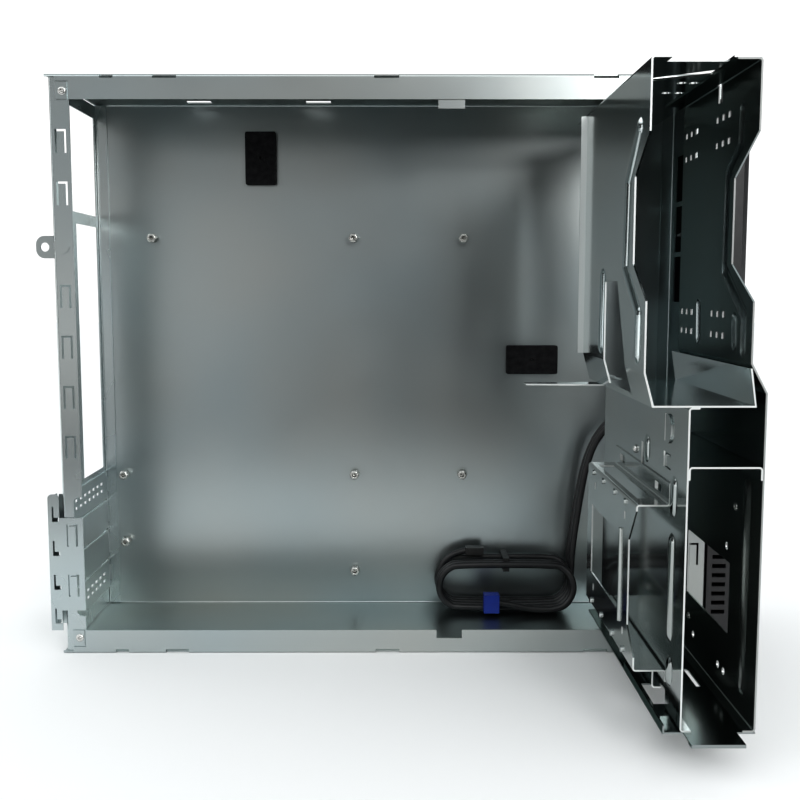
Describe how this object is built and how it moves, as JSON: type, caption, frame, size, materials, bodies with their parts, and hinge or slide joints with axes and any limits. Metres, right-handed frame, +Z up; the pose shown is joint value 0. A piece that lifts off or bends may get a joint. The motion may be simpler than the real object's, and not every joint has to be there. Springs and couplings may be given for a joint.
{
  "type": "micro-tower pc case",
  "caption": "Slim upright computer case of folded galvanised sheet, side cover off, with a swing-out drive cage and a black moulded front.",
  "frame": {"origin": "middle of the underside of the chassis, on the surface it stands on", "axes": "+X to the front of the case, +Z up, -Y out of the open side"},
  "size_m": [0.419, 0.2608, 0.334],
  "materials": {
    "galvanised_steel": "smooth galvanised sheet",
    "zinc_hardware": "bright zinc plating",
    "black_plastic": "fine moulded texture",
    "black_fitting": "moulded",
    "blue_plastic": "moulded",
    "clear_plastic": "polished",
    "circuit_board": "solder mask",
    "bright_shell": "plated sheet",
    "foam": "closed-cell foam",
    "cable_jacket": "smooth jacket"
  },
  "bodies": {
    "chassis": {"audio_socket_1": "black_fitting", "audio_socket_2": "black_fitting", "board_standoffs": "zinc_hardware", "cable_tie": "black_fitting", "chassis_pan": "galvanised_steel", "corner_rivets": "zinc_hardware", "drive_light_pipe": "clear_plastic", "front_bezel": "black_plastic", "front_panel": "galvanised_steel", "lock_loop": "galvanised_steel", "lower_foam_pad": "foam", "lower_pivot_bracket": "galvanised_steel", "lower_pivot_pin": "zinc_hardware", "optical_bay_cover": "black_plastic", "panel_cable_boot": "black_fitting", "panel_cable_hank": "cable_jacket", "panel_cable_lead": "cable_jacket", "panel_plug": "black_fitting", "port_board": "circuit_board", "power_light_pipe": "clear_plastic", "power_switch": "black_fitting", "rear_panel": "galvanised_steel", "reset_switch": "black_fitting", "slot_cover_1": "galvanised_steel", "slot_cover_2": "galvanised_steel", "slot_cover_3": "galvanised_steel", "slot_cover_4": "galvanised_steel", "small_bay_cover": "black_plastic", "switch_board": "circuit_board", "upper_foam_pad": "foam", "upper_pivot_bracket": "galvanised_steel", "upper_pivot_pin": "zinc_hardware", "usb_cable_boot": "black_fitting", "usb_cable_hank": "cable_jacket", "usb_cable_lead": "cable_jacket", "usb_plug": "blue_plastic", "usb_socket_1": "bright_shell", "usb_socket_2": "bright_shell"},
    "cage": {"optical_bay_frame": "galvanised_steel", "cage_side_cover": "galvanised_steel", "lower_partition": "galvanised_steel", "cage_floor": "galvanised_steel", "bay_divider": "galvanised_steel", "small_drive_bracket": "galvanised_steel", "support_leg": "galvanised_steel", "cage_rivets": "zinc_hardware"},
    "slot_clamp": {"slot_clamp": "galvanised_steel"},
    "power_button": {"power_button": "black_plastic"},
    "reset_button": {"reset_button": "black_plastic"}
  },
  "joints": [
    {"name": "cage_swing", "type": "hinge", "parent": "chassis", "child": "cage", "pos_m": [0.1475, -0.0269, 0.16], "axis": [0, 0, 1], "range_deg": [-90, 0]},
    {"name": "clamp_slide", "type": "slide", "parent": "chassis", "child": "slot_clamp", "axis": [-1, 0, 0], "range_m": [0, 0.025]},
    {"name": "power_press", "type": "slide", "parent": "chassis", "child": "power_button", "axis": [-1, 0, 0], "range_m": [0, 0.002], "stiffness_N_per_m": 600},
    {"name": "reset_press", "type": "slide", "parent": "chassis", "child": "reset_button", "axis": [-1, 0, 0], "range_m": [0, 0.002], "stiffness_N_per_m": 400}
  ]
}
